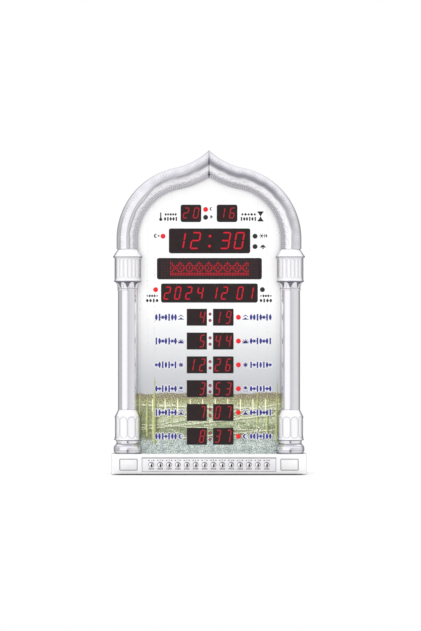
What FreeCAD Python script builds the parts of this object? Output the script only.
import FreeCAD, Part
import math
import operator
import os
import Sketcher

# Table clock with an ogee arch over two half-round columns, a row of buttons in its plinth
# and a printed face full of seven-segment displays.
# X runs to the right, Y from front to back and Z up. The origin lies on the ground under the
# middle of the clock. Lengths are in millimetres and angles in degrees.

DIMENSIONS = [
    ("overall_height", 400, "ground to the tip of the arch"),
    ("plinth_width", 240, "across the plinth"),
    ("plinth_top", 25.3, "ground to the top of the plinth"),
    ("case_depth", 48, "front of the plinth to the back of the housing"),
    ("ledge_depth", 18.3, "front of the plinth to the back of the columns"),
    ("foot_height", 1.0, "rubber foot below the plinth"),
    ("foot_length", 20, "rubber foot along X"),
    ("foot_depth", 8, "rubber foot along Y"),
    ("foot_inset", 15, "end of the plinth to the middle of a foot"),
    ("foot_spread", 14, "middle of the clock to a foot, along Y"),
    ("edge_bevel", 0.8, "bevel on the front edges of the plinth"),
    ("skin", 2.2, "wall of the front mouldings"),
    ("clearance", 0.3, "gap round a piece that drops into its seat"),
    ("column_inset", 19.7, "end of the plinth to the axis of a column"),
    ("column_radius", 12.1, "half-round column"),
    ("arch_shift", 1.5, "axis of a column to the axis of the arch's leg"),
    ("tube_radius", 12.4, "half-round section of the arch"),
    ("lip_width", 2.0, "flat lip inside the arch"),
    ("leg_height", 12.4, "straight leg below the arch"),
    ("shoulder_centre", 24.5, "middle of the clock to the centre of a shoulder"),
    ("ogee_radius", 96.4, "hollow curve that rises to the tip"),
    ("ogee_lean", 11.25, "turn from upright where the curve changes sides"),
    ("ogee_turn", 36, "turn of the hollow curve, cut off at the middle"),
    ("capital_height", 50.8, "capital from its neck ring to its collar"),
    ("neck_radius", 12.4, "foot of the capital's leafy neck"),
    ("neck_flare", 13.6, "head of the capital's leafy neck"),
    ("neck_height", 10.5, "leafy neck"),
    ("neck_ring_height", 1.6, "ring below the leafy neck"),
    ("neck_ring_proud", 0.6, "ring in front of the neck's foot"),
    ("drum_radius", 16.25, "fluted drum of capital and pedestal"),
    ("drum_lip", 17.0, "lip below the capital's drum and the pedestal's"),
    ("lip_height", 1.6, "height of that lip"),
    ("brim_radius", 18.2, "brim above the capital's drum"),
    ("brim_height", 2.1, "height of the brim"),
    ("collar_height", 8.7, "sloped collar between the brim and the arch"),
    ("flute_width", 3.6, "flute of the capital"),
    ("flute_depth", 0.9, "flute of the capital"),
    ("flute_margin", 2.4, "plain band above and below the flutes"),
    ("flute_count", 20, "flutes round a whole capital"),
    ("pedestal_height", 54.3, "pedestal from the plinth to its collar"),
    ("bulge_height", 11.1, "round bulge at the foot of the pedestal"),
    ("bulge_crown", 2.05, "how far the bulge swells out between its foot and its head"),
    ("bulge_foot", 15.9, "foot of the bulge"),
    ("bulge_head", 15.05, "head of the bulge"),
    ("step_height", 1.0, "step between the bulge and the waist"),
    ("waist_radius", 14.4, "waist above the bulge"),
    ("waist_height", 5.0, "waist above the bulge"),
    ("base_drum_height", 28.9, "fluted drum of the pedestal"),
    ("base_collar_top", 11.4, "small end of the pedestal's collar"),
    ("base_flute_width", 8.0, "flute of the pedestal"),
    ("base_flute_depth", 1.2, "flute of the pedestal"),
    ("base_flute_count", 10, "flutes round a whole pedestal"),
    ("peg_width", 4, "square peg that locates a column piece"),
    ("peg_reach", 3, "peg behind the face panel"),
    ("panel_thickness", 2, "printed face panel"),
    ("panel_overlap", 5, "face panel behind the plinth's front"),
    ("housing_inset", 2.8, "housing inside the outline of the arch"),
    ("housing_wall", 2.4, "wall of the rear housing"),
    ("housing_bevel", 1.6, "bevel round the back of the housing"),
    ("row_foot", 21.3, "top of the plinth to the lowest row of times"),
    ("row_pitch", 29.4, "from one row of times to the next"),
    ("row_module_width", 25, "two-digit display of a row"),
    ("row_module_height", 21, "two-digit display of a row"),
    ("hours_centre", -15.0, "middle of the hours display"),
    ("minutes_centre", 17.4, "middle of the minutes display"),
    ("colon_centre", 1.3, "colon between hours and minutes"),
    ("colon_spread", 3.9, "middle of a row to a dot of its colon"),
    ("colon_radius", 1.5, "colon lamp"),
    ("row_lamp_centre", 36.3, "lamp at the end of a row"),
    ("window_corner", 2.5, "corner radius of the upper displays' windows"),
    ("small_module_drop", 78.6, "tip of the arch to the small displays"),
    ("small_module_centre", 22.3, "middle of the clock to a small display"),
    ("small_module_height", 20.7, "temperature and countdown displays"),
    ("time_drop", 112.6, "tip of the arch to the time display"),
    ("time_centre", 0.7, "middle of the clock to the middle of the time display"),
    ("time_width", 100, "time display"),
    ("time_height", 30, "time display"),
    ("matrix_drop", 146.9, "tip of the arch to the dot matrix"),
    ("matrix_centre", 0.5, "middle of the clock to the middle of the dot matrix"),
    ("matrix_width", 129, "dot matrix"),
    ("matrix_height", 25.6, "dot matrix"),
    ("date_drop", 177.0, "tip of the arch to the date display"),
    ("date_centre", 0.5, "middle of the clock to the middle of the date display"),
    ("date_width", 119, "date display"),
    ("date_height", 22.8, "date display"),
    ("module_depth", 8, "display module from front to back"),
    ("module_sink", 0.3, "face panel to the front of a module"),
    ("lamp_radius", 2.5, "indicator lamp"),
    ("lamp_proud", 0.8, "indicator lamp in front of the face panel"),
    ("unit_lamp_centre", -4.2, "lamps beside the temperature, along X"),
    ("unit_lamp_drop", 73.3, "tip of the arch to the upper unit lamp"),
    ("unit_lamp_pitch", 9.7, "upper unit lamp to the lower one"),
    ("side_lamp_centre", 56.8, "middle of the clock to a lamp beside the time"),
    ("side_lamp_drop", 106.3, "tip of the arch to the lamps beside the time"),
    ("alarm_lamp_pitch", 12.8, "daylight-saving lamp to the alarm lamp"),
    ("calendar_lamp_centre", 65.9, "middle of the clock to a calendar lamp"),
    ("calendar_lamp_drop", 172.3, "tip of the arch to the calendar lamps"),
    ("board_thickness", 1.6, "circuit boards"),
    ("board_width", 144, "display board"),
    ("board_head", 64, "tip of the arch to the top of the display board"),
    ("board_foot", 8, "top of the plinth to the foot of the display board"),
    ("board_screw_inset", 6, "edge of a board to its screw, along X"),
    ("board_screw_rise", 16, "foot of the display board to its lower screws"),
    ("board_peg_drop", 12, "top of the display board to its pegs"),
    ("board_peg_proud", 1, "pegs in front of the display board"),
    ("post_radius", 3.2, "post that carries the display board"),
    ("screw_radius", 1.5, "shank of a screw"),
    ("screw_head_radius", 2.8, "head of a screw"),
    ("screw_head_height", 2, "head of a screw"),
    ("screw_slack", 0.1, "hole round a screw's shank"),
    ("case_screw_bite", 7.4, "tip of a case screw in front of the face panel"),
    ("board_screw_length", 8, "screw that holds the display board"),
    ("tip_gap", 0.6, "space beyond the tip of a screw"),
    ("boss_radius", 4.2, "boss round a case screw"),
    ("arch_screw_turn", 45, "turn from upright to the screw in a shoulder"),
    ("plinth_screw_centre", 87, "middle of the clock to a screw in the plinth"),
    ("strip_width", 164.9, "button panel"),
    ("strip_height", 17.4, "button panel"),
    ("strip_thickness", 1.6, "button panel"),
    ("strip_sink", 0.2, "front of the plinth to the button panel"),
    ("strip_ledge", 1.5, "wall left behind the button panel's recess"),
    ("button_row", 12.35, "ground to the row of buttons"),
    ("button_count", 14, "buttons in the row"),
    ("button_pitch", 10.92, "from one button to the next"),
    ("button_radius", 3.3, "round head of a button"),
    ("button_proud", 1.0, "head of a button in front of the plinth"),
    ("button_flange", 8.4, "square flange that keeps a button in"),
    ("flange_play", 0.6, "gap round the flanges"),
    ("flange_thickness", 1.0, "flange of a button"),
    ("button_travel", 0.6, "how far a button goes in"),
    ("button_slack", 0.1, "play before and after the travel"),
    ("switch_width", 6, "push switch behind a button"),
    ("switch_depth", 3.5, "body of the push switch"),
    ("plunger_width", 3, "plunger of the push switch"),
    ("plunger_length", 1.5, "plunger of the push switch"),
    ("switch_board_width", 163, "board behind the buttons"),
    ("switch_board_height", 17, "board behind the buttons"),
    ("switch_screw_inset", 3.2, "end of the board behind the buttons to its screw"),
    ("switch_screw_length", 6, "screw that holds the board behind the buttons"),
    ("switch_post_radius", 2.4, "post that carries the board behind the buttons"),
    ("plate_centre_inset", 21, "end of the plinth to the middle of a plate"),
    ("plate_width", 20.8, "small plate beside the buttons"),
    ("plate_height", 12.9, "small plate beside the buttons"),
    ("plate_thickness", 0.8, "small plate beside the buttons"),
    ("plate_sink", 0.1, "front of the plinth to the small plate"),
    ("keyhole_centre", 45, "middle of the clock to a hanging hole"),
    ("keyhole_drop", 76, "tip of the arch to the round part of a hanging hole"),
    ("keyhole_radius", 4.5, "round part of a hanging hole"),
    ("keyhole_slot", 4.4, "width of its slot"),
    ("keyhole_rise", 9, "its round part to the end of its slot"),
    ("speaker_rise", 70, "top of the plinth to the middle of the speaker"),
    ("speaker_width", 70, "speaker's flange"),
    ("speaker_height", 31, "speaker's flange"),
    ("speaker_margin", 4, "flange round the speaker's mouth"),
    ("speaker_flange", 1.6, "thickness of the speaker's flange"),
    ("basket_depth", 9, "speaker's basket"),
    ("basket_wall", 0.8, "speaker's basket"),
    ("basket_seat_width", 24, "front of the basket, where the magnet sits"),
    ("basket_seat_height", 18, "front of the basket, where the magnet sits"),
    ("magnet_inset", 1, "edge of the basket's front to the magnet"),
    ("magnet_depth", 4, "speaker's magnet"),
    ("cone_paper", 0.5, "paper of the speaker's cone"),
    ("cone_depth", 5, "speaker's cone"),
    ("cone_floor_inset", 3, "edge of the basket's front to the floor of the cone"),
    ("surround_thickness", 0.6, "rim of the cone"),
    ("speaker_rib", 1.2, "rib round the speaker's flange"),
    ("speaker_rib_height", 4, "rib round the speaker's flange"),
    ("grille_count", 11, "slots in front of the speaker"),
    ("grille_pitch", 5.2, "from one slot to the next"),
    ("grille_slot", 2, "width of a slot"),
    ("grille_height", 24, "length of a slot"),
    ("jack_centre", -60, "middle of the clock to the power inlet"),
    ("jack_width", 9, "power inlet"),
    ("jack_height", 11, "power inlet"),
    ("jack_length", 16.4, "power inlet"),
    ("jack_bore", 3.1, "radius of the inlet's mouth"),
    ("jack_pin", 1.0, "radius of the inlet's pin"),
    ("jack_bore_depth", 9.5, "depth of the inlet's mouth"),
    ("jack_pin_sink", 1.0, "back of the inlet to the end of its pin"),
    ("cell_radius", 10, "coin cell"),
    ("cell_thickness", 3.2, "coin cell"),
    ("cell_centre", 45, "middle of the clock to the coin cell"),
    ("cell_rise", 30, "foot of the display board to the coin cell"),
    ("holder_wall", 2, "wall round the coin cell"),
    ("holder_floor", 1, "floor under the coin cell"),
    ("header_depth", 5, "plug-in header on a board"),
    ("header_height", 4, "plug-in header on a board"),
    ("header_rise", 6.7, "foot of the display board to its headers"),
    ("header_margin", 1, "header beyond each side of its ribbon"),
    ("chip_thickness", 1.6, "chips on the back of the display board"),
    ("controller_width", 18, "square controller chip"),
    ("controller_drop", 101, "top of the display board to the controller"),
    ("sound_chip_width", 12, "sound chip"),
    ("sound_chip_height", 8, "sound chip"),
    ("sound_chip_centre", 30, "middle of the clock to the sound chip"),
    ("driver_count", 6, "display drivers in a row"),
    ("driver_pitch", 18, "from one driver to the next"),
    ("driver_width", 8, "display driver"),
    ("driver_height", 10, "display driver"),
    ("driver_drop", 145, "top of the display board to the drivers"),
    ("sensor_width", 4, "temperature sensor"),
    ("sensor_depth", 3, "temperature sensor"),
    ("sensor_height", 5, "temperature sensor"),
    ("sensor_inset", 12, "edge of the display board to the sensor"),
    ("sensor_rise", 6.5, "foot of the display board to the sensor"),
    ("ribbon_width", 20, "ribbon between the boards"),
    ("lead_width", 2.6, "twin lead of the power inlet and the speaker"),
    ("lead_thickness", 1.2, "ribbon and twin leads"),
    ("lead_bend", 3, "bend of the ribbon and twin leads"),
]

ROWS = ["dawn", "sunrise", "noon", "afternoon", "sunset", "night"]
UPPER_DISPLAYS = [
    "temperature_display", "countdown_display", "time_display", "matrix_display", "date_display",
]
SIDES = {"left": -1, "right": 1}

# Flats that stand for round stretches, on a whole turn or on the half-round arch
LAMP_FLATS = 12
SCREW_FLATS = 8
CELL_FLATS = 20
ARCH_FLATS = 12
BULGE_FLATS = 5

# Corners that one sketch may have
MOST_CORNERS = 36

doc = FreeCAD.newDocument("ArchClock")


class Size:
    """A number together with the sheet expression that gives it."""

    def __init__(self, text, value):
        self.text = text
        self.value = value

    def __add__(self, other):
        return joined(self, "+", other)

    def __radd__(self, other):
        return joined(other, "+", self)

    def __sub__(self, other):
        return joined(self, "-", other)

    def __rsub__(self, other):
        return joined(other, "-", self)

    def __mul__(self, other):
        return joined(self, "*", other)

    def __rmul__(self, other):
        return joined(other, "*", self)

    def __truediv__(self, other):
        return joined(self, "/", other)

    def __rtruediv__(self, other):
        return joined(other, "/", self)

    def __neg__(self):
        return joined(0, "-", self)


SIGNS = {"+": operator.add, "-": operator.sub, "*": operator.mul, "/": operator.truediv}


def as_size(number):
    return number if isinstance(number, Size) else Size(f"({float(number)})", float(number))


def joined(left, sign, right):
    left = as_size(left)
    right = as_size(right)
    value = SIGNS[sign](left.value, right.value)
    return Size(f"({left.text} {sign} {right.text})", value)


def root(size):
    return Size(f"sqrt({size.text})", math.sqrt(size.value))


def sine(angle):
    return Size(f"sin({angle.text})", math.sin(math.radians(angle.value)))


def cosine(angle):
    return Size(f"cos({angle.text})", math.cos(math.radians(angle.value)))


class Sheet:
    """The driving dimensions, each one an attribute that holds a Size."""

    def __init__(self, rows):
        page = doc.addObject("Spreadsheet::Sheet", "Dimensions")
        for number, (name, value, note) in enumerate(rows, 1):
            page.set(f"A{number}", name)
            page.set(f"B{number}", str(value))
            page.set(f"C{number}", note)
            page.setAlias(f"B{number}", name)
        doc.recompute()
        for name, value, note in rows:
            setattr(self, name, Size(f"Dimensions.{name}", float(page.get(name))))


size = Sheet(DIMENSIONS)

# Planes and curves that several pieces share
back_y = (size.case_depth + size.button_proud) / 2
front_y = back_y - size.case_depth
frame_y = front_y + size.ledge_depth
panel_back = frame_y + size.panel_thickness
inner_back = back_y - size.housing_wall
half_width = size.plinth_width / 2
column_axis = half_width - size.column_inset
arch_axis = column_axis + size.arch_shift
shoulder_radius = arch_axis - size.shoulder_centre
centre_gap = shoulder_radius + size.ogee_radius
ogee_x = size.shoulder_centre + centre_gap * sine(size.ogee_lean)
ogee_rise = centre_gap * cosine(size.ogee_lean)


def height_at_middle(radius):
    """How far below the centre of the hollow curve its arc of this radius meets the middle."""
    return root(radius * radius - ogee_x * ogee_x)


spring_z = size.overall_height - ogee_rise + height_at_middle(size.ogee_radius - size.tube_radius)
ogee_z = spring_z + ogee_rise
capital_top = spring_z - size.leg_height
capital_foot = capital_top - size.capital_height
pedestal_top = size.plinth_top + size.pedestal_height
module_front = frame_y + size.module_sink
board_front = module_front + size.module_depth
board_back = board_front + size.board_thickness
board_top = size.overall_height - size.board_head
board_foot = size.plinth_top + size.board_foot
strip_front = front_y + size.strip_sink
strip_back = strip_front + size.strip_thickness
recess_floor = strip_back
flange_front = strip_back + size.button_slack
flange_back = flange_front + size.flange_thickness
plunger_tip = flange_back + size.button_travel + size.button_slack
switch_front = plunger_tip + size.plunger_length
switch_board_front = switch_front + size.switch_depth
switch_board_back = switch_board_front + size.board_thickness
plinth_cavity = recess_floor + size.strip_ledge
speaker_z = size.plinth_top + size.speaker_rise
header_z = board_foot + size.header_rise
peg_hole = size.peg_width + 2 * size.clearance
screw_seat = back_y - size.screw_head_height - size.screw_slack
screw_tip = frame_y - size.case_screw_bite
case_screw_length = screw_seat - screw_tip
pilot_radius = size.screw_radius + size.screw_slack
hole_radius = size.screw_radius + size.clearance
pedestal_drum = size.bulge_height + size.step_height + size.waist_height
pedestal_drum_top = pedestal_drum + size.base_drum_height
capital_drum = size.neck_height + size.lip_height
capital_drum_top = size.capital_height - size.collar_height - size.brim_height


def row_height(index):
    """Height of a row of times, counted from the top row."""
    return size.plinth_top + size.row_foot + (len(ROWS) - 1 - index) * size.row_pitch


def bind(thing, path, value):
    thing.setExpression(path, as_size(value).text)


def new_body(label):
    body = doc.addObject("PartDesign::Body", label)
    body.Label = label
    return body


def put(thing, x=0, y=0, z=0):
    """Binds the place of a sub-part."""
    for axis, value in zip("xyz", (x, y, z)):
        bind(thing, f"Placement.Base.{axis}", value)
    return thing


def rectangle(x, y, width, height):
    """Corners of a rectangle round a middle."""
    left = x - width / 2
    right = x + width / 2
    low = y - height / 2
    high = y + height / 2
    return [(left, low), (right, low), (right, high), (left, high)]


def span(left, right, low, high):
    """Corners of a rectangle between four sides."""
    return [(left, low), (right, low), (right, high), (left, high)]


def flats(x, y, radius, sides):
    """Corners of a regular outline round a middle, with a flat side at its foot."""
    half = 180 / sides
    corners = []
    for number in range(sides):
        angle = as_size(half * (2 * number + 1) - 90)
        corners.append((x + radius * cosine(angle), y + radius * sine(angle)))
    return corners


def spot(x, y):
    return FreeCAD.Vector(as_size(x).value, as_size(y).value, 0)


def pin_point(rules, edge, end, x, y):
    """Rules that tie one point of an edge to the sketch's origin."""
    for kind, value in (("DistanceX", as_size(x)), ("DistanceY", as_size(y))):
        rules.append((Sketcher.Constraint(kind, -1, 1, edge, end, value.value), value))


def arc_between(start, end, middle, turn):
    """An arc round a middle; turn is 1 to the left and -1 to the right."""
    first, last = (start, end) if turn > 0 else (end, start)
    radius = (first - middle).Length
    ring = Part.Circle(middle, FreeCAD.Vector(0, 0, 1), radius)
    begin = math.atan2(first.y - middle.y, first.x - middle.x)
    finish = math.atan2(last.y - middle.y, last.x - middle.x)
    if finish <= begin:
        finish += 2 * math.pi
    return Part.ArcOfCircle(ring, begin, finish)


def trace(corners, edges, rules):
    """Adds a closed outline; a corner with a middle and a turn starts an arc to the next."""
    count = len(corners)
    first = len(edges)
    ends = []
    for number, corner in enumerate(corners):
        start = spot(*corner[:2])
        end = spot(*corners[(number + 1) % count][:2])
        if len(corner) == 2:
            edges.append(Part.LineSegment(start, end))
            ends.append((1, 2))
            continue
        middle_x, middle_y, turn = corner[2:]
        edges.append(arc_between(start, end, spot(middle_x, middle_y), turn))
        ends.append((1, 2) if turn > 0 else (2, 1))
    for number, corner in enumerate(corners):
        edge = first + number
        following = (number + 1) % count
        joint = (edge, ends[number][1], first + following, ends[following][0])
        rules.append((Sketcher.Constraint("Coincident", *joint), None))
        pin_point(rules, edge, ends[number][0], *corner[:2])
        if len(corner) > 2:
            pin_middle(rules, edge, corner, corners[following])


def pin_middle(rules, edge, corner, following):
    """Settles an arc by the one coordinate of its middle that its ends leave open."""
    chord = spot(*following[:2]) - spot(*corner[:2])
    if abs(chord.x) >= abs(chord.y):
        kind, value = "DistanceY", as_size(corner[3])
    else:
        kind, value = "DistanceX", as_size(corner[2])
    rules.append((Sketcher.Constraint(kind, -1, 1, edge, 3, value.value), value))


def draw(drawing, loops):
    """Draws closed outlines and binds every point to the sheet."""
    edges = []
    rules = []
    for corners in loops:
        trace(corners, edges, rules)
    for number, (rule, value) in enumerate(rules):
        rule.Name = f"size{number}"
    drawing.addGeometry(edges)
    drawing.addConstraint([rule for rule, value in rules])
    for rule, value in rules:
        if value is not None:
            bind(drawing, f"Constraints.{rule.Name}", value)


def new_sketch(body, role, name, loops, offset=0):
    """A sketch on one of the body's own planes, moved along that plane's normal."""
    plane = next(item for item in body.Origin.OriginFeatures if item.Role == role)
    drawing = body.newObject("Sketcher::SketchObject", name)
    drawing.AttachmentSupport = [(plane, "")]
    drawing.MapMode = "FlatFace"
    bind(drawing, "AttachmentOffset.Base.z", offset)
    draw(drawing, loops)
    return drawing


def upright_sketch(body, name, loops, y):
    """A sketch that faces the front, at a distance behind the body's origin."""
    return new_sketch(body, "XZ_Plane", name, loops, -as_size(y))


def pad(body, name, drawing, length):
    feature = body.newObject("PartDesign::Pad", name)
    feature.Profile = drawing
    bind(feature, "Length", length)
    return feature


def pocket(body, name, drawing, length):
    feature = body.newObject("PartDesign::Pocket", name)
    feature.Profile = drawing
    bind(feature, "Length", length)
    return feature


def batches(loops):
    """Outlines in small batches, because a sketch with many corners is slow to solve."""
    found = [[]]
    for loop in loops:
        corners = sum(len(other) for other in found[-1]) + len(loop)
        if found[-1] and corners > MOST_CORNERS:
            found.append([])
        found[-1].append(loop)
    return found


def slab(body, name, loops, front, back):
    """Material between two upright planes, given by their places along Y."""
    for number, some in enumerate(batches(loops), 1):
        drawing = upright_sketch(body, f"{name}_outline_{number}", some, back)
        feature = pad(body, f"{name}_{number}", drawing, back - front)
    return feature


def cut(body, name, loops, front, back):
    """A cut between two upright planes, given by their places along Y."""
    for number, some in enumerate(batches(loops), 1):
        drawing = upright_sketch(body, f"{name}_outline_{number}", some, front)
        feature = pocket(body, f"{name}_{number}", drawing, as_size(back) - front)
    return feature


def plan_sketch(body, name, corners, height):
    """A sketch seen from above, at a height over the body's origin."""
    return new_sketch(body, "XY_Plane", name, [corners], height)


def pattern_round(body, name, originals, count, turn):
    """Copies round the body's upright axis, spread evenly over a turn."""
    pattern = body.newObject("PartDesign::PolarPattern", name)
    pattern.Originals = originals
    if not originals:
        doc.recompute()
        pattern.TransformMode = "Whole shape"
    axis = next(item for item in body.Origin.OriginFeatures if item.Role == "Z_Axis")
    pattern.Axis = (axis, [""])
    pattern.Reversed = True
    pattern.Occurrences = count
    bind(pattern, "Angle", turn)
    body.Tip = pattern
    return pattern


def box(label, x, y, z, width, depth, height):
    """A block given by its low corner and its sizes."""
    block = doc.addObject("Part::Box", label)
    block.Label = label
    bind(block, "Length", width)
    bind(block, "Width", depth)
    bind(block, "Height", height)
    return put(block, x, y, z)


def group(label, members):
    """Like pieces that share one sub-part, each a solid of its own."""
    bunch = doc.addObject("Part::Compound", label)
    bunch.Label = label
    bunch.Links = members
    return bunch


# Arch

def arch_section(axis):
    """Half-round section with a flat lip inside the arch; the axis is a place across it."""
    radius = size.tube_radius
    corners = []
    for number in range(ARCH_FLATS):
        angle = as_size(180 * number / ARCH_FLATS)
        corners.append((axis + radius * cosine(angle), -radius * sine(angle)))
    lip_front = corners[-1][1]
    lip_edge = axis - (radius + size.lip_width)
    return corners + [(lip_edge, lip_front), (lip_edge, 0)]


def tilted_section(body, name, radius, middle_x, middle_z, tilt):
    """The arch's section on a plane through a curve's middle, tilted from upright towards X.

    The sketch runs along Y first and along the tilted ray second, and the curve's middle is
    its origin, so that its first axis is the axis of the turn."""
    plane = next(item for item in body.Origin.OriginFeatures if item.Role == "YZ_Plane")
    drawing = body.newObject("Sketcher::SketchObject", name)
    drawing.AttachmentSupport = [(plane, "")]
    drawing.MapMode = "FlatFace"
    drawing.AttachmentOffset = FreeCAD.Placement(
        FreeCAD.Vector(), FreeCAD.Rotation(FreeCAD.Vector(1, 0, 0), as_size(tilt).value)
    )
    bind(drawing, "AttachmentOffset.Base.x", frame_y)
    bind(drawing, "AttachmentOffset.Base.y", middle_z)
    bind(drawing, "AttachmentOffset.Base.z", middle_x)
    bind(drawing, "AttachmentOffset.Rotation.Angle", tilt)
    draw(drawing, [[(y, x) for x, y in arch_section(radius)]])
    return drawing


def turn_section(body, name, drawing, angle, backwards):
    feature = body.newObject("PartDesign::Revolution", name)
    feature.Profile = drawing
    feature.ReferenceAxis = (drawing, ["H_Axis"])
    feature.Reversed = backwards
    bind(feature, "Angle", angle)
    return feature


def arch_screw_place():
    turn = size.arch_screw_turn
    across = size.shoulder_centre + shoulder_radius * sine(turn)
    return across, spring_z + shoulder_radius * cosine(turn)


def make_arch():
    body = new_body("arch_moulding")
    shoulder = tilted_section(
        body, "shoulder_section", shoulder_radius, size.shoulder_centre, spring_z, 90
    )
    pad(body, "leg", shoulder, size.leg_height)
    turn_section(body, "shoulder", shoulder, 90 - size.ogee_lean, True)
    hollow = tilted_section(
        body, "ogee_section", -size.ogee_radius, ogee_x, ogee_z, size.ogee_lean
    )
    turn_section(body, "ogee", hollow, size.ogee_turn, False)
    screw_x, screw_z = arch_screw_place()
    pilot = flats(screw_x, screw_z, pilot_radius, SCREW_FLATS)
    cut(body, "pilot", [pilot], screw_tip - size.tip_gap, frame_y)
    reach = size.tube_radius * 4
    window = span(-reach, reach, spring_z, size.overall_height + reach)
    beyond = new_sketch(body, "YZ_Plane", "beyond_middle", [window])
    pocket(body, "seam", beyond, half_width)
    mirror = body.newObject("PartDesign::Mirrored", "other_half")
    mirror.TransformMode = "Whole shape"
    plane = next(item for item in body.Origin.OriginFeatures if item.Role == "YZ_Plane")
    mirror.MirrorPlane = (plane, [""])
    body.Tip = mirror
    return body


# Columns

def add_peg(body, height):
    """Square peg that passes through the face panel and locates the piece."""
    corners = rectangle(0, height, size.peg_width, size.peg_width)
    return slab(body, "peg", [corners], 0, size.panel_thickness + size.peg_reach)


def on_ray(angle, along, aside):
    """A place in plan: along a ray from the axis and aside from it."""
    x = along * cosine(angle) - aside * sine(angle)
    y = along * sine(angle) + aside * cosine(angle)
    return x, y


def turned_slice(body, profile):
    """One flat-faced slice of a turned piece, beside the face panel on the right.

    The profile gives radius and height. The slice is one facet wide, and its outer corners
    lie at the profile's radius."""
    facet = 360 / size.flute_count
    ray = -facet / 2
    plane = next(item for item in body.Origin.OriginFeatures if item.Role == "XZ_Plane")
    drawing = body.newObject("Sketcher::SketchObject", "profile")
    drawing.AttachmentSupport = [(plane, "")]
    drawing.MapMode = "FlatFace"
    drawing.AttachmentOffset = FreeCAD.Placement(
        FreeCAD.Vector(), FreeCAD.Rotation(FreeCAD.Vector(0, 1, 0), ray.value)
    )
    bind(drawing, "AttachmentOffset.Rotation.Angle", ray)
    shrink = cosine(facet / 2)
    draw(drawing, [[(radius * shrink, height) for radius, height in profile]])
    prism = pad(body, "prism", drawing, 2 * size.brim_radius)
    prism.Midplane = True
    reach = 2 * size.brim_radius
    far = -facet
    beyond = [
        (0, 0), (reach, 0), (reach, reach), (-reach, reach), (-reach, -reach),
        (reach * cosine(far), -reach), (reach * cosine(far), reach * sine(far)),
    ]
    head = profile[-1][1]
    drawing = plan_sketch(body, "beyond_slice", beyond, head)
    pocket(body, "slice", drawing, head)


def flute_cut(body, ray, width, depth, foot, head):
    """A flute with slanting sides, on a ray of the drum."""
    floor = size.drum_radius - depth
    mouth = size.drum_radius + depth
    half = width / 2
    corners = [
        on_ray(ray, floor, -half / 2), on_ray(ray, mouth, -half * 1.5),
        on_ray(ray, mouth, half * 1.5), on_ray(ray, floor, half / 2),
    ]
    drawing = plan_sketch(body, "flute_outline", corners, head - size.flute_margin)
    return pocket(body, "flute", drawing, head - foot - 2 * size.flute_margin)


def make_capital(side):
    body = new_body(f"capital_{side}")
    ring = size.neck_radius + size.neck_ring_proud
    profile = [
        (0, 0),
        (ring, 0),
        (ring, size.neck_ring_height),
        (size.neck_radius, size.neck_ring_height),
        (size.neck_flare, size.neck_height),
        (size.drum_lip, size.neck_height),
        (size.drum_lip, capital_drum),
        (size.drum_radius, capital_drum),
        (size.drum_radius, capital_drum_top),
        (size.brim_radius, capital_drum_top),
        (size.brim_radius, capital_drum_top + size.brim_height),
        (size.tube_radius, size.capital_height),
        (0, size.capital_height),
    ]
    turned_slice(body, profile)
    facet = 360 / size.flute_count
    flute_cut(
        body, -facet / 2, size.flute_width, size.flute_depth, capital_drum, capital_drum_top
    )
    count = int(round(size.flute_count.value)) // 2
    pattern_round(body, "half_turn", [], count, (count - 1) * facet)
    add_peg(body, (capital_drum + capital_drum_top) / 2)
    return put(body, SIDES[side] * column_axis, frame_y, capital_foot)


def bulge_corners():
    """Outline of the pedestal's bulge from its foot to its head."""
    corners = []
    for number in range(BULGE_FLATS + 1):
        share = number / BULGE_FLATS
        swell = 4 * share * (1 - share) * size.bulge_crown
        radius = size.bulge_foot + share * (size.bulge_head - size.bulge_foot) + swell
        corners.append((radius, share * size.bulge_height))
    return corners


def make_pedestal(side):
    body = new_body(f"pedestal_{side}")
    step_top = size.bulge_height + size.step_height
    lip_foot = pedestal_drum - size.lip_height
    profile = [(0, 0)] + bulge_corners() + [
        (size.bulge_head, step_top),
        (size.waist_radius, step_top),
        (size.waist_radius, lip_foot),
        (size.drum_lip, lip_foot),
        (size.drum_lip, pedestal_drum),
        (size.drum_radius, pedestal_drum),
        (size.drum_radius, pedestal_drum_top),
        (size.base_collar_top, size.pedestal_height),
        (0, size.pedestal_height),
    ]
    turned_slice(body, profile)
    facet = 360 / size.flute_count
    count = int(round(size.flute_count.value)) // 2
    pattern_round(body, "half_turn", [], count, (count - 1) * facet)
    pitch = 360 / size.base_flute_count
    shown = int(round(size.base_flute_count.value)) // 2
    flute = flute_cut(
        body, -pitch / 2, size.base_flute_width, size.base_flute_depth,
        pedestal_drum, pedestal_drum_top,
    )
    pattern_round(body, "flutes", [flute], shown, (shown - 1) * pitch)
    add_peg(body, (pedestal_drum + pedestal_drum_top) / 2)
    return put(body, SIDES[side] * column_axis, frame_y, size.plinth_top)


def make_column(side):
    body = new_body(f"column_{side}")
    radius = size.column_radius
    corners = [(radius, 0, 0, 0, -1), (-radius, 0)]
    length = capital_foot - pedestal_top
    pad(body, "shaft", plan_sketch(body, "section", corners, 0), length)
    add_peg(body, length / 2)
    return put(body, SIDES[side] * column_axis, frame_y, pedestal_top)


# Plinth and its buttons

def plinth_middle():
    return (size.plinth_top + size.foot_height) / 2


def plinth_height():
    return size.plinth_top - size.foot_height


def board_screw_places():
    """Screws at the ends of the button board."""
    inset = size.switch_board_width / 2 - size.switch_screw_inset
    return [(-inset, size.button_row), (inset, size.button_row)]


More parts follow.
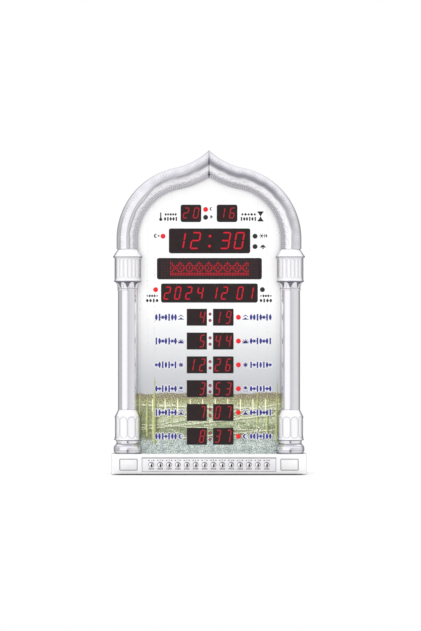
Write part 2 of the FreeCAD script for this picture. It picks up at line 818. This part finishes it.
def make_plinth():
    body = new_body("plinth_front")
    outer = rectangle(0, plinth_middle(), size.plinth_width, plinth_height())
    shell = slab(body, "block", [outer], front_y, frame_y)
    doc.recompute()
    rim = [
        f"Edge{number}" for number, edge in enumerate(shell.Shape.Edges, 1)
        if edge.BoundBox.YMax < front_y.value + 0.01
        and edge.BoundBox.ZMax > size.foot_height.value + 0.01
    ]
    bevel = body.newObject("PartDesign::Chamfer", "bevel")
    bevel.Base = (shell, rim)
    bind(bevel, "Size", size.edge_bevel)
    width = size.plinth_width - 2 * size.skin
    inner = rectangle(0, plinth_middle(), width, plinth_height() - 2 * size.skin)
    cut(body, "cavity", [inner], plinth_cavity, frame_y)
    seat = rectangle(
        0, size.button_row, size.strip_width + size.clearance, size.strip_height + size.clearance
    )
    cut(body, "strip_recess", [seat], front_y, recess_floor)
    run = (size.button_count - 1) * size.button_pitch + size.button_flange
    slot = rectangle(
        0, size.button_row, run + 2 * size.flange_play, size.button_flange + 2 * size.flange_play
    )
    cut(body, "button_slot", [slot], recess_floor, plinth_cavity)
    seats = [
        rectangle(
            sign * (half_width - size.plate_centre_inset), size.button_row,
            size.plate_width + 2 * size.clearance, size.plate_height + 2 * size.clearance,
        )
        for sign in SIDES.values()
    ]
    cut(body, "plate_recess", seats, front_y, front_y + size.plate_sink + size.plate_thickness)
    screws = [(sign * size.plinth_screw_centre, size.button_row) for sign in SIDES.values()]
    bosses = [flats(x, z, size.boss_radius, SCREW_FLATS) for x, z in screws]
    slab(body, "case_bosses", bosses, plinth_cavity, frame_y)
    pilots = [flats(x, z, pilot_radius, SCREW_FLATS) for x, z in screws]
    cut(body, "case_pilots", pilots, screw_tip - size.tip_gap, frame_y)
    posts = [flats(x, z, size.switch_post_radius, SCREW_FLATS) for x, z in board_screw_places()]
    slab(body, "board_posts", posts, plinth_cavity, switch_board_front)
    holes = [flats(x, z, pilot_radius, SCREW_FLATS) for x, z in board_screw_places()]
    tip = switch_board_back - size.switch_screw_length
    cut(body, "post_pilots", holes, tip - size.tip_gap, switch_board_front)
    return body


def button_place(index):
    middle = (size.button_count - 1) / 2
    return (index - middle) * size.button_pitch


def make_button_panel():
    body = new_body("button_panel")
    outer = rectangle(0, size.button_row, size.strip_width, size.strip_height)
    slab(body, "plate", [outer], strip_front, strip_back)
    hole = flats(
        button_place(0), size.button_row, size.button_radius + size.clearance, LAMP_FLATS
    )
    opening = cut(body, "hole", [hole], strip_front, strip_back)
    pattern = body.newObject("PartDesign::LinearPattern", "holes")
    pattern.Originals = [opening]
    axis = next(item for item in body.Origin.OriginFeatures if item.Role == "X_Axis")
    pattern.Direction = (axis, [""])
    pattern.Occurrences = int(round(size.button_count.value))
    bind(pattern, "Length", (size.button_count - 1) * size.button_pitch)
    body.Tip = pattern
    return body


def make_button(index):
    body = new_body(f"button_{index + 1:02d}")
    cap = flats(0, 0, size.button_radius, LAMP_FLATS)
    slab(body, "head", [cap], front_y - size.button_proud, flange_front)
    flange = rectangle(0, 0, size.button_flange, size.button_flange)
    slab(body, "flange", [flange], flange_front, flange_back)
    return put(body, button_place(index), 0, size.button_row)


def make_switches():
    blocks = []
    for index in range(int(round(size.button_count.value))):
        x = button_place(index)
        width = size.switch_width
        tip = size.plunger_width
        case = box(
            f"switch_case_{index}", x - width / 2, switch_front, size.button_row - width / 2,
            width, size.switch_depth, width,
        )
        plunger = box(
            f"switch_plunger_{index}", x - tip / 2, plunger_tip, size.button_row - tip / 2,
            tip, size.plunger_length, tip,
        )
        switch = doc.addObject("Part::Fuse", f"switch_{index}")
        switch.Base = case
        switch.Tool = plunger
        blocks.append(switch)
    return group("push_switches", blocks)


def make_switch_board():
    body = new_body("button_board")
    outer = rectangle(0, size.button_row, size.switch_board_width, size.switch_board_height)
    slab(body, "board", [outer], switch_board_front, switch_board_back)
    holes = [flats(x, z, pilot_radius, SCREW_FLATS) for x, z in board_screw_places()]
    cut(body, "screw_holes", holes, switch_board_front, switch_board_back)
    return body


def make_end_plate(side):
    x = SIDES[side] * (half_width - size.plate_centre_inset)
    return box(
        f"end_plate_{side}", x - size.plate_width / 2, front_y + size.plate_sink,
        size.button_row - size.plate_height / 2,
        size.plate_width, size.plate_thickness, size.plate_height,
    )


# Case

def ogee_outline(inset, foot, steps=()):
    """The arch's outline drawn in by an inset, closed at its foot; steps widen it at the foot."""
    leg = arch_axis + size.tube_radius - inset
    shoulder = shoulder_radius + size.tube_radius - inset
    hollow = size.ogee_radius - size.tube_radius + inset
    turn_x = size.shoulder_centre + shoulder * sine(size.ogee_lean)
    turn_z = spring_z + shoulder * cosine(size.ogee_lean)
    tip = ogee_z - height_at_middle(hollow)
    right = list(steps) if steps else [(leg, foot)]
    mirrored = [(-x, z) for x, z in reversed(right)]
    return right + [
        (leg, spring_z, size.shoulder_centre, spring_z, 1),
        (turn_x, turn_z, ogee_x, ogee_z, -1),
        (0, tip, -ogee_x, ogee_z, -1),
        (-turn_x, turn_z, -size.shoulder_centre, spring_z, 1),
        (-leg, spring_z),
    ] + mirrored


def windows():
    """Middle, width and height of each display on the face, by name."""
    top = size.overall_height
    small = top - size.small_module_drop
    pair = (size.row_module_width, size.small_module_height)
    found = {
        "temperature_display": [(-size.small_module_centre, small, *pair)],
        "countdown_display": [(size.small_module_centre, small, *pair)],
        "time_display": [
            (size.time_centre, top - size.time_drop, size.time_width, size.time_height)
        ],
        "matrix_display": [
            (size.matrix_centre, top - size.matrix_drop, size.matrix_width, size.matrix_height)
        ],
        "date_display": [
            (size.date_centre, top - size.date_drop, size.date_width, size.date_height)
        ],
    }
    for index, row in enumerate(ROWS):
        height = row_height(index)
        found[f"{row}_display"] = [
            (middle, height, size.row_module_width, size.row_module_height)
            for middle in (size.hours_centre, size.minutes_centre)
        ]
    return found


def make_display(name, places):
    gap = 2 * size.clearance
    blocks = []
    for number, (x, z, width, height) in enumerate(places):
        label = name if len(places) == 1 else f"{name}_{number + 1}"
        blocks.append(
            box(
                label, x - (width - gap) / 2, module_front, z - (height - gap) / 2,
                width - gap, size.module_depth, height - gap,
            )
        )
    return blocks[0] if len(blocks) == 1 else group(name, blocks)


def make_upper_display(name, place):
    """A display whose corners are round as its window's are."""
    x, z, width, height = place
    gap = 2 * size.clearance
    body = new_body(name)
    outline = rounded(x, z, width - gap, height - gap, size.window_corner - size.clearance)
    slab(body, "case", [outline], module_front, board_front)
    return body


def lamp_places():
    """The indicator lamps beside the upper displays."""
    top = size.overall_height
    unit = top - size.unit_lamp_drop
    side = top - size.side_lamp_drop
    calendar = top - size.calendar_lamp_drop
    return [
        (size.unit_lamp_centre, unit),
        (size.unit_lamp_centre, unit - size.unit_lamp_pitch),
        (-size.side_lamp_centre, side),
        (size.side_lamp_centre, side),
        (size.side_lamp_centre, side - size.alarm_lamp_pitch),
        (-size.calendar_lamp_centre, calendar),
        (size.calendar_lamp_centre, calendar),
    ]


def row_lamp_places():
    return [(size.row_lamp_centre, row_height(index)) for index in range(len(ROWS))]


def colon_places():
    return [
        (size.colon_centre, row_height(index) + sign * size.colon_spread)
        for index in range(len(ROWS)) for sign in SIDES.values()
    ]


def peg_places():
    """Heights of the pegs of pedestal, column and capital."""
    return [
        size.plinth_top + (pedestal_drum + pedestal_drum_top) / 2,
        (pedestal_top + capital_foot) / 2,
        capital_foot + (capital_drum + capital_drum_top) / 2,
    ]


def rounded(x, z, width, height, radius):
    """A rectangle with round corners."""
    left = x - width / 2
    right = x + width / 2
    low = z - height / 2
    high = z + height / 2
    return [
        (left + radius, low),
        (right - radius, low, right - radius, low + radius, 1),
        (right, low + radius),
        (right, high - radius, right - radius, high - radius, 1),
        (right - radius, high),
        (left + radius, high, left + radius, high - radius, 1),
        (left, high - radius),
        (left, low + radius, left + radius, low + radius, 1),
    ]


def make_face_panel():
    body = new_body("face_panel")
    inset = size.housing_inset + size.housing_wall + size.clearance
    foot = size.plinth_top - size.panel_overlap
    slab(body, "sheet", [ogee_outline(inset, foot)], frame_y, panel_back)
    found = windows()
    for name in UPPER_DISPLAYS:
        outline = rounded(*found.pop(name)[0], size.window_corner)
        cut(body, f"{name}_window", [outline], frame_y, panel_back)
    for name, places in found.items():
        cut(body, f"{name}_window", [rectangle(*p) for p in places], frame_y, panel_back)
    lamps = [
        flats(x, z, size.lamp_radius + size.clearance, LAMP_FLATS)
        for x, z in lamp_places() + row_lamp_places()
    ]
    cut(body, "lamp_holes", lamps, frame_y, panel_back)
    pegs = [
        rectangle(sign * column_axis, z, peg_hole, peg_hole)
        for sign in SIDES.values() for z in peg_places()
    ]
    cut(body, "peg_holes", pegs, frame_y, panel_back)
    screw_x, screw_z = arch_screw_place()
    holes = [
        flats(sign * screw_x, screw_z, hole_radius, SCREW_FLATS) for sign in SIDES.values()
    ]
    cut(body, "screw_holes", holes, frame_y, panel_back)
    return body


def housing_outline(inset):
    """The housing's outline, stepped out at its foot to the plinth."""
    leg = arch_axis + size.tube_radius - size.housing_inset - inset
    side = half_width - inset
    low = size.foot_height + inset
    step = size.plinth_top - inset
    return ogee_outline(
        size.housing_inset + inset, low, [(side, low), (side, step), (leg, step)]
    )


def keyhole(x, z):
    """A round hole with a slot that rises from it."""
    half = size.keyhole_slot / 2
    radius = size.keyhole_radius
    shoulder = z + root(radius * radius - half * half)
    end = z + size.keyhole_rise
    return [
        (x + half, shoulder),
        (x + half, end, x, end, 1),
        (x - half, end),
        (x - half, shoulder, x, z, 1),
    ]


def board_post_places():
    x = size.board_width / 2 - size.board_screw_inset
    return [(sign * x, board_foot + size.board_screw_rise) for sign in SIDES.values()]


def board_peg_places():
    x = size.board_width / 2 - size.board_screw_inset
    return [(sign * x, board_top - size.board_peg_drop) for sign in SIDES.values()]


def make_housing():
    body = new_body("rear_housing")
    shell = slab(body, "block", [housing_outline(0)], frame_y, back_y)
    doc.recompute()
    rim = [
        f"Edge{number}" for number, edge in enumerate(shell.Shape.Edges, 1)
        if edge.BoundBox.YMin > back_y.value - 0.01
    ]
    bevel = body.newObject("PartDesign::Chamfer", "bevel")
    bevel.Base = (shell, rim)
    bind(bevel, "Size", size.housing_bevel)
    cut(body, "cavity", [housing_outline(size.housing_wall)], frame_y, inner_back)
    screw_x, screw_z = arch_screw_place()
    upper = [(sign * screw_x, screw_z) for sign in SIDES.values()]
    lower = [(sign * size.plinth_screw_centre, size.button_row) for sign in SIDES.values()]
    bosses = [flats(x, z, size.boss_radius, SCREW_FLATS) for x, z in upper]
    slab(body, "arch_bosses", bosses, panel_back, inner_back)
    bosses = [flats(x, z, size.boss_radius, SCREW_FLATS) for x, z in lower]
    slab(body, "plinth_bosses", bosses, frame_y, inner_back)
    holes = [flats(x, z, hole_radius, SCREW_FLATS) for x, z in upper + lower]
    cut(body, "case_holes", holes, frame_y, back_y)
    seat_radius = size.screw_head_radius + size.clearance
    seats = [flats(x, z, seat_radius, SCREW_FLATS) for x, z in upper + lower]
    cut(body, "head_seats", seats, screw_seat, back_y)
    posts = [flats(x, z, size.post_radius, SCREW_FLATS) for x, z in board_post_places()]
    slab(body, "board_posts", posts, board_back, inner_back)
    pilots = [flats(x, z, pilot_radius, SCREW_FLATS) for x, z in board_post_places()]
    tip = board_front + size.board_screw_length + size.tip_gap
    cut(body, "board_pilots", pilots, board_back, tip)
    shoulders = [
        rectangle(x, z, size.peg_width * 2, size.peg_width * 2) for x, z in board_peg_places()
    ]
    slab(body, "board_shoulders", shoulders, board_back, inner_back)
    pegs = [rectangle(x, z, size.peg_width, size.peg_width) for x, z in board_peg_places()]
    slab(body, "board_pegs", pegs, board_front - size.board_peg_proud, board_back)
    holes = [
        keyhole(sign * size.keyhole_centre, size.overall_height - size.keyhole_drop)
        for sign in SIDES.values()
    ]
    cut(body, "keyholes", holes, inner_back, back_y)
    middle = (size.grille_count - 1) / 2
    slots = []
    for number in range(int(round(size.grille_count.value))):
        x = (number - middle) * size.grille_pitch
        slots.append(rectangle(x, speaker_z, size.grille_slot, size.grille_height))
    cut(body, "grille", slots, inner_back, back_y)
    gap = 2 * size.clearance
    rib = 2 * size.speaker_rib
    inner = (size.speaker_width + gap, size.speaker_height + gap)
    loops = [
        rectangle(0, speaker_z, inner[0] + rib, inner[1] + rib),
        rectangle(0, speaker_z, *inner),
    ]
    slab(body, "speaker_rib", loops, inner_back - size.speaker_rib_height, inner_back)
    mouth = rectangle(
        size.jack_centre, size.button_row,
        size.jack_width + gap, size.jack_height + gap,
    )
    cut(body, "inlet", [mouth], inner_back, back_y)
    return body


# Inside

def make_display_board():
    body = new_body("display_board")
    height = board_top - board_foot
    outer = rectangle(0, board_foot + height / 2, size.board_width, height)
    slab(body, "board", [outer], board_front, board_back)
    holes = [flats(x, z, pilot_radius, SCREW_FLATS) for x, z in board_post_places()]
    cut(body, "screw_holes", holes, board_front, board_back)
    pegs = [rectangle(x, z, peg_hole, peg_hole) for x, z in board_peg_places()]
    cut(body, "peg_holes", pegs, board_front, board_back)
    return body


def make_lamps(label, places, radius, front, sides):
    body = new_body(label)
    slab(body, "lamps", [flats(x, z, radius, sides) for x, z in places], front, board_front)
    return body


def make_screws(label, places, seat, length, points_back=False):
    """Screws, each a head on its seat and a shank that points to the front or to the back."""
    body = new_body(label)
    heads = [flats(x, z, size.screw_head_radius, SCREW_FLATS) for x, z in places]
    shanks = [flats(x, z, size.screw_radius, SCREW_FLATS) for x, z in places]
    if points_back:
        slab(body, "heads", heads, seat - size.screw_head_height, seat)
        slab(body, "shanks", shanks, seat, seat + length)
    else:
        slab(body, "heads", heads, seat, seat + size.screw_head_height)
        slab(body, "shanks", shanks, seat - length, seat)
    return body


def make_chip(label, x, z, width, height):
    """A chip on the back of the display board, given by its middle."""
    thickness = size.chip_thickness
    return box(label, x - width / 2, board_back, z - height / 2, width, thickness, height)


def make_chips():
    """Controller, sound chip and a row of display drivers."""
    side = size.controller_width
    level = board_top - size.controller_drop
    found = [
        make_chip("controller", 0, level, side, side),
        make_chip(
            "sound_chip", size.sound_chip_centre, level, size.sound_chip_width,
            size.sound_chip_height,
        ),
    ]
    middle = (size.driver_count - 1) / 2
    for number in range(int(round(size.driver_count.value))):
        x = (number - middle) * size.driver_pitch
        z = board_top - size.driver_drop
        found.append(make_chip(f"driver_{number}", x, z, size.driver_width, size.driver_height))
    return group("board_chips", found)


def cell_place():
    return size.cell_centre, board_foot + size.cell_rise


def make_cell_holder():
    body = new_body("coin_cell_holder")
    x, z = cell_place()
    side = 2 * (size.cell_radius + size.clearance + size.holder_wall)
    floor = board_back + size.holder_floor
    slab(body, "cup", [rectangle(x, z, side, side)], board_back, floor + size.cell_thickness)
    pit = flats(x, z, size.cell_radius + size.clearance, CELL_FLATS)
    cut(body, "pit", [pit], floor, floor + size.cell_thickness)
    return body


def make_cell():
    body = new_body("coin_cell")
    x, z = cell_place()
    floor = board_back + size.holder_floor
    disc = flats(x, z, size.cell_radius, CELL_FLATS)
    slab(body, "disc", [disc], floor, floor + size.cell_thickness)
    return body


def wedge(label, near, near_y, far, far_y):
    """A tapered block between two upright rectangles round the speaker's axis."""
    block = doc.addObject("Part::Wedge", label)
    bind(block, "Ymin", near_y)
    bind(block, "Ymax", far_y)
    for name, value in (("X", near[0]), ("Z", near[1]), ("X2", far[0]), ("Z2", far[1])):
        bind(block, f"{name}min", -value / 2)
        bind(block, f"{name}max", value / 2)
    return put(block, 0, 0, speaker_z)


def centred_box(label, width, height, front, back):
    """A block round the speaker's axis."""
    depth = back - front
    return box(label, -width / 2, front, speaker_z - height / 2, width, depth, height)


def hollowed(label, solid, rim, hollow, mouth):
    """A tapered block and its rim, less a tapered hollow and its mouth."""
    outside = doc.addObject("Part::MultiFuse", f"{label}_outside")
    outside.Shapes = [solid, rim]
    inside = doc.addObject("Part::MultiFuse", f"{label}_inside")
    inside.Shapes = [hollow, mouth]
    shell = doc.addObject("Part::Cut", label)
    shell.Label = label
    shell.Base = outside
    shell.Tool = inside
    return shell


def speaker_mouth():
    margin = 2 * size.speaker_margin
    return size.speaker_width - margin, size.speaker_height - margin


def make_speaker_frame():
    """Flange against the back wall and a tapered basket that ends at the magnet."""
    wall = size.basket_wall
    flange_y = inner_back - size.speaker_flange
    seat_y = flange_y - size.basket_depth
    mouth = speaker_mouth()
    outer = (mouth[0] + 2 * wall, mouth[1] + 2 * wall)
    seat = (size.basket_seat_width, size.basket_seat_height)
    inner = (seat[0] - 2 * wall, seat[1] - 2 * wall)
    return hollowed(
        "speaker_frame",
        wedge("basket", seat, seat_y, outer, flange_y),
        centred_box("flange", size.speaker_width, size.speaker_height, flange_y, inner_back),
        wedge("basket_hollow", inner, seat_y + wall, mouth, flange_y),
        centred_box("basket_mouth", *mouth, flange_y, inner_back),
    )


def make_speaker_cone():
    """Thin tapered diaphragm inside the basket."""
    paper = 2 * size.cone_paper
    flange_y = inner_back - size.speaker_flange
    rim_back = flange_y + size.surround_thickness
    floor_y = flange_y - size.cone_depth
    inset = 2 * size.cone_floor_inset
    rim = tuple(side - 2 * size.clearance for side in speaker_mouth())
    floor = (size.basket_seat_width - inset, size.basket_seat_height - inset)
    inner_rim = (rim[0] - paper, rim[1] - paper)
    inner_floor = (floor[0] - paper, floor[1] - paper)
    return hollowed(
        "speaker_cone",
        wedge("cone", floor, floor_y, rim, flange_y),
        centred_box("surround", *rim, flange_y, rim_back),
        wedge("cone_hollow", inner_floor, floor_y + size.cone_paper, inner_rim, flange_y),
        centred_box("cone_mouth", *inner_rim, flange_y, rim_back),
    )


def make_magnet():
    back = inner_back - size.speaker_flange - size.basket_depth
    inset = 2 * size.magnet_inset
    width = size.basket_seat_width - inset
    height = size.basket_seat_height - inset
    return centred_box("speaker_magnet", width, height, back - size.magnet_depth, back)


def make_jack():
    """Power inlet with a round mouth and a pin in it."""
    body = new_body("power_inlet")
    outer = rectangle(size.jack_centre, size.button_row, size.jack_width, size.jack_height)
    slab(body, "case", [outer], back_y - size.jack_length, back_y)
    mouth = flats(size.jack_centre, size.button_row, size.jack_bore, LAMP_FLATS)
    floor = back_y - size.jack_bore_depth
    cut(body, "mouth", [mouth], floor, back_y)
    pin = flats(size.jack_centre, size.button_row, size.jack_pin, SCREW_FLATS)
    slab(body, "pin", [pin], floor, back_y - size.jack_pin_sink)
    return body


def make_header(label, x, z, front, width):
    depth = size.header_depth
    height = size.header_height
    return box(label, x - width / 2, front, z - height / 2, width, depth, height)


def make_headers():
    """Plug-in headers on the backs of both boards."""
    wide = size.ribbon_width + 2 * size.header_margin
    slim = size.lead_width + 2 * size.header_margin
    return group("board_headers", [
        make_header("ribbon_header_low", 0, size.button_row, switch_board_back, wide),
        make_header("ribbon_header_high", 0, header_z, board_back, wide),
        make_header("power_header", size.jack_centre, header_z, board_back, slim),
        make_header("speaker_header", 0, speaker_lead_foot(), board_back, slim),
    ])


def speaker_lead_foot():
    return speaker_z - size.speaker_height


def strip(label, x, width, corners):
    """A flat lead of even width, drawn from the side."""
    body = new_body(label)
    drawing = new_sketch(body, "YZ_Plane", "side_outline", [corners], x - width / 2)
    pad(body, "strip", drawing, width)
    return body


def make_ribbon():
    """Ribbon that runs back from the button board and up to the display board."""
    half = size.lead_thickness / 2
    bend = size.lead_bend
    low = size.button_row
    start = switch_board_back + size.header_depth
    end = board_back + size.header_depth
    turn_y = end + size.header_height
    return strip("ribbon_cable", 0, size.ribbon_width, [
        (start, low - half),
        (turn_y, low - half, turn_y, low + bend, 1),
        (turn_y + bend + half, low + bend),
        (turn_y + bend + half, header_z - bend, turn_y, header_z - bend, 1),
        (turn_y, header_z + half),
        (end, header_z + half),
        (end, header_z - half),
        (turn_y, header_z - half, turn_y, header_z - bend, -1),
        (turn_y + bend - half, header_z - bend),
        (turn_y + bend - half, low + bend, turn_y, low + bend, -1),
        (turn_y, low + half),
        (start, low + half),
    ])


def bent_lead(label, x, foot, head, foot_is_header):
    """Twin lead with one bend, from a header to a piece above or below it."""
    half = size.lead_thickness / 2
    bend = size.lead_bend
    end = board_back + size.header_depth
    turn_y = end + size.header_height
    if foot_is_header:
        corners = [
            (end, foot - half),
            (turn_y, foot - half, turn_y, foot + bend, 1),
            (turn_y + bend + half, foot + bend),
            (turn_y + bend + half, head),
            (turn_y + bend - half, head),
            (turn_y + bend - half, foot + bend, turn_y, foot + bend, -1),
            (turn_y, foot + half),
            (end, foot + half),
        ]
    else:
        corners = [
            (turn_y + bend - half, foot),
            (turn_y + bend + half, foot),
            (turn_y + bend + half, head - bend, turn_y, head - bend, 1),
            (turn_y, head + half),
            (end, head + half),
            (end, head - half),
            (turn_y, head - half, turn_y, head - bend, -1),
            (turn_y + bend - half, head - bend),
        ]
    return strip(label, x, size.lead_width, corners)


def make_power_lead():
    top = size.button_row + size.jack_height / 2
    return bent_lead("power_lead", size.jack_centre, top, header_z, False)


def make_speaker_lead():
    """Ends just short of the basket's lower slope."""
    lead_y = board_back + size.header_depth + size.header_height + size.lead_bend
    flange_y = inner_back - size.speaker_flange
    seat_y = flange_y - size.basket_depth
    mouth_half = size.speaker_height / 2 - size.speaker_margin + size.basket_wall
    seat_half = size.basket_seat_height / 2
    slope = (mouth_half - seat_half) / size.basket_depth
    half_there = seat_half + (lead_y + size.lead_thickness - seat_y) * slope
    top = speaker_z - half_there - size.clearance
    return bent_lead("speaker_lead", 0, speaker_lead_foot(), top, True)


def make_sensor():
    """Temperature sensor, a bead on the back of the display board."""
    return box(
        "temperature_sensor", size.board_width / 2 - size.sensor_inset, board_back,
        board_foot + size.sensor_rise, size.sensor_width, size.sensor_depth,
        size.sensor_height,
    )


def make_feet():
    pads = []
    for side, sign in SIDES.items():
        for end, way in (("front", -1), ("back", 1)):
            x = sign * (half_width - size.foot_inset) - size.foot_length / 2
            y = way * size.foot_spread - size.foot_depth / 2
            pads.append(
                box(
                    f"foot_{side}_{end}", x, y, 0,
                    size.foot_length, size.foot_depth, size.foot_height,
                )
            )
    return group("rubber_feet", pads)


def case_screw_places():
    screw_x, screw_z = arch_screw_place()
    low = size.button_row
    return [
        (sign * x, z) for sign in SIDES.values()
        for x, z in ((screw_x, screw_z), (size.plinth_screw_centre, low))
    ]


def make_all():
    parts = [make_arch(), make_plinth(), make_button_panel(), make_face_panel(), make_housing()]
    for side in SIDES:
        parts += [make_capital(side), make_column(side), make_pedestal(side)]
        parts.append(make_end_plate(side))
    parts += [make_button(index) for index in range(int(round(size.button_count.value)))]
    shown = windows()
    parts += [make_upper_display(name, shown.pop(name)[0]) for name in UPPER_DISPLAYS]
    parts += [make_display(name, places) for name, places in shown.items()]
    proud = frame_y - size.lamp_proud
    radius = size.lamp_radius
    parts.append(make_lamps("indicator_lamps", lamp_places(), radius, proud, LAMP_FLATS))
    parts.append(make_lamps("row_lamps", row_lamp_places(), radius, proud, LAMP_FLATS))
    behind = panel_back + size.clearance
    parts.append(
        make_lamps("colon_lamps", colon_places(), size.colon_radius, behind, SCREW_FLATS)
    )
    parts += [make_display_board(), make_chips(), make_cell_holder(), make_cell(), make_sensor()]
    parts += [make_switch_board(), make_switches(), make_headers()]
    parts += [make_speaker_frame(), make_speaker_cone(), make_magnet(), make_jack()]
    parts += [make_ribbon(), make_power_lead(), make_speaker_lead(), make_feet()]
    parts += [
        make_screws("case_screws", case_screw_places(), screw_seat, case_screw_length),
        make_screws(
            "display_board_screws", board_post_places(), board_front,
            size.board_screw_length, points_back=True,
        ),
        make_screws(
            "button_board_screws", board_screw_places(), switch_board_back,
            size.switch_screw_length,
        ),
    ]
    return parts


def check(parts):
    """Stops on a failed feature, a cut that took nothing away or a bad shape."""
    for item in doc.Objects:
        if {"Invalid", "Error"} & set(item.State):
            raise RuntimeError(f"{item.Label} failed: {item.State}")
        if item.TypeId == "PartDesign::Pocket":
            if item.Shape.Volume > item.BaseFeature.Shape.Volume - 1e-6:
                raise RuntimeError(f"{item.Label} cuts nothing")
    for part in parts:
        if part.Shape.isNull() or not part.Shape.isValid():
            raise RuntimeError(f"{part.Label} has a bad shape")


parts = make_all()
doc.recompute()
check(parts)
os.makedirs("parts", exist_ok=True)
for part in parts:
    part.Shape.exportStep(f"parts/{part.Label}.step")
    volume = part.Shape.Volume
    print(f"{part.Label}: {len(part.Shape.Solids)} solid, {volume:.0f} cubic millimetres")
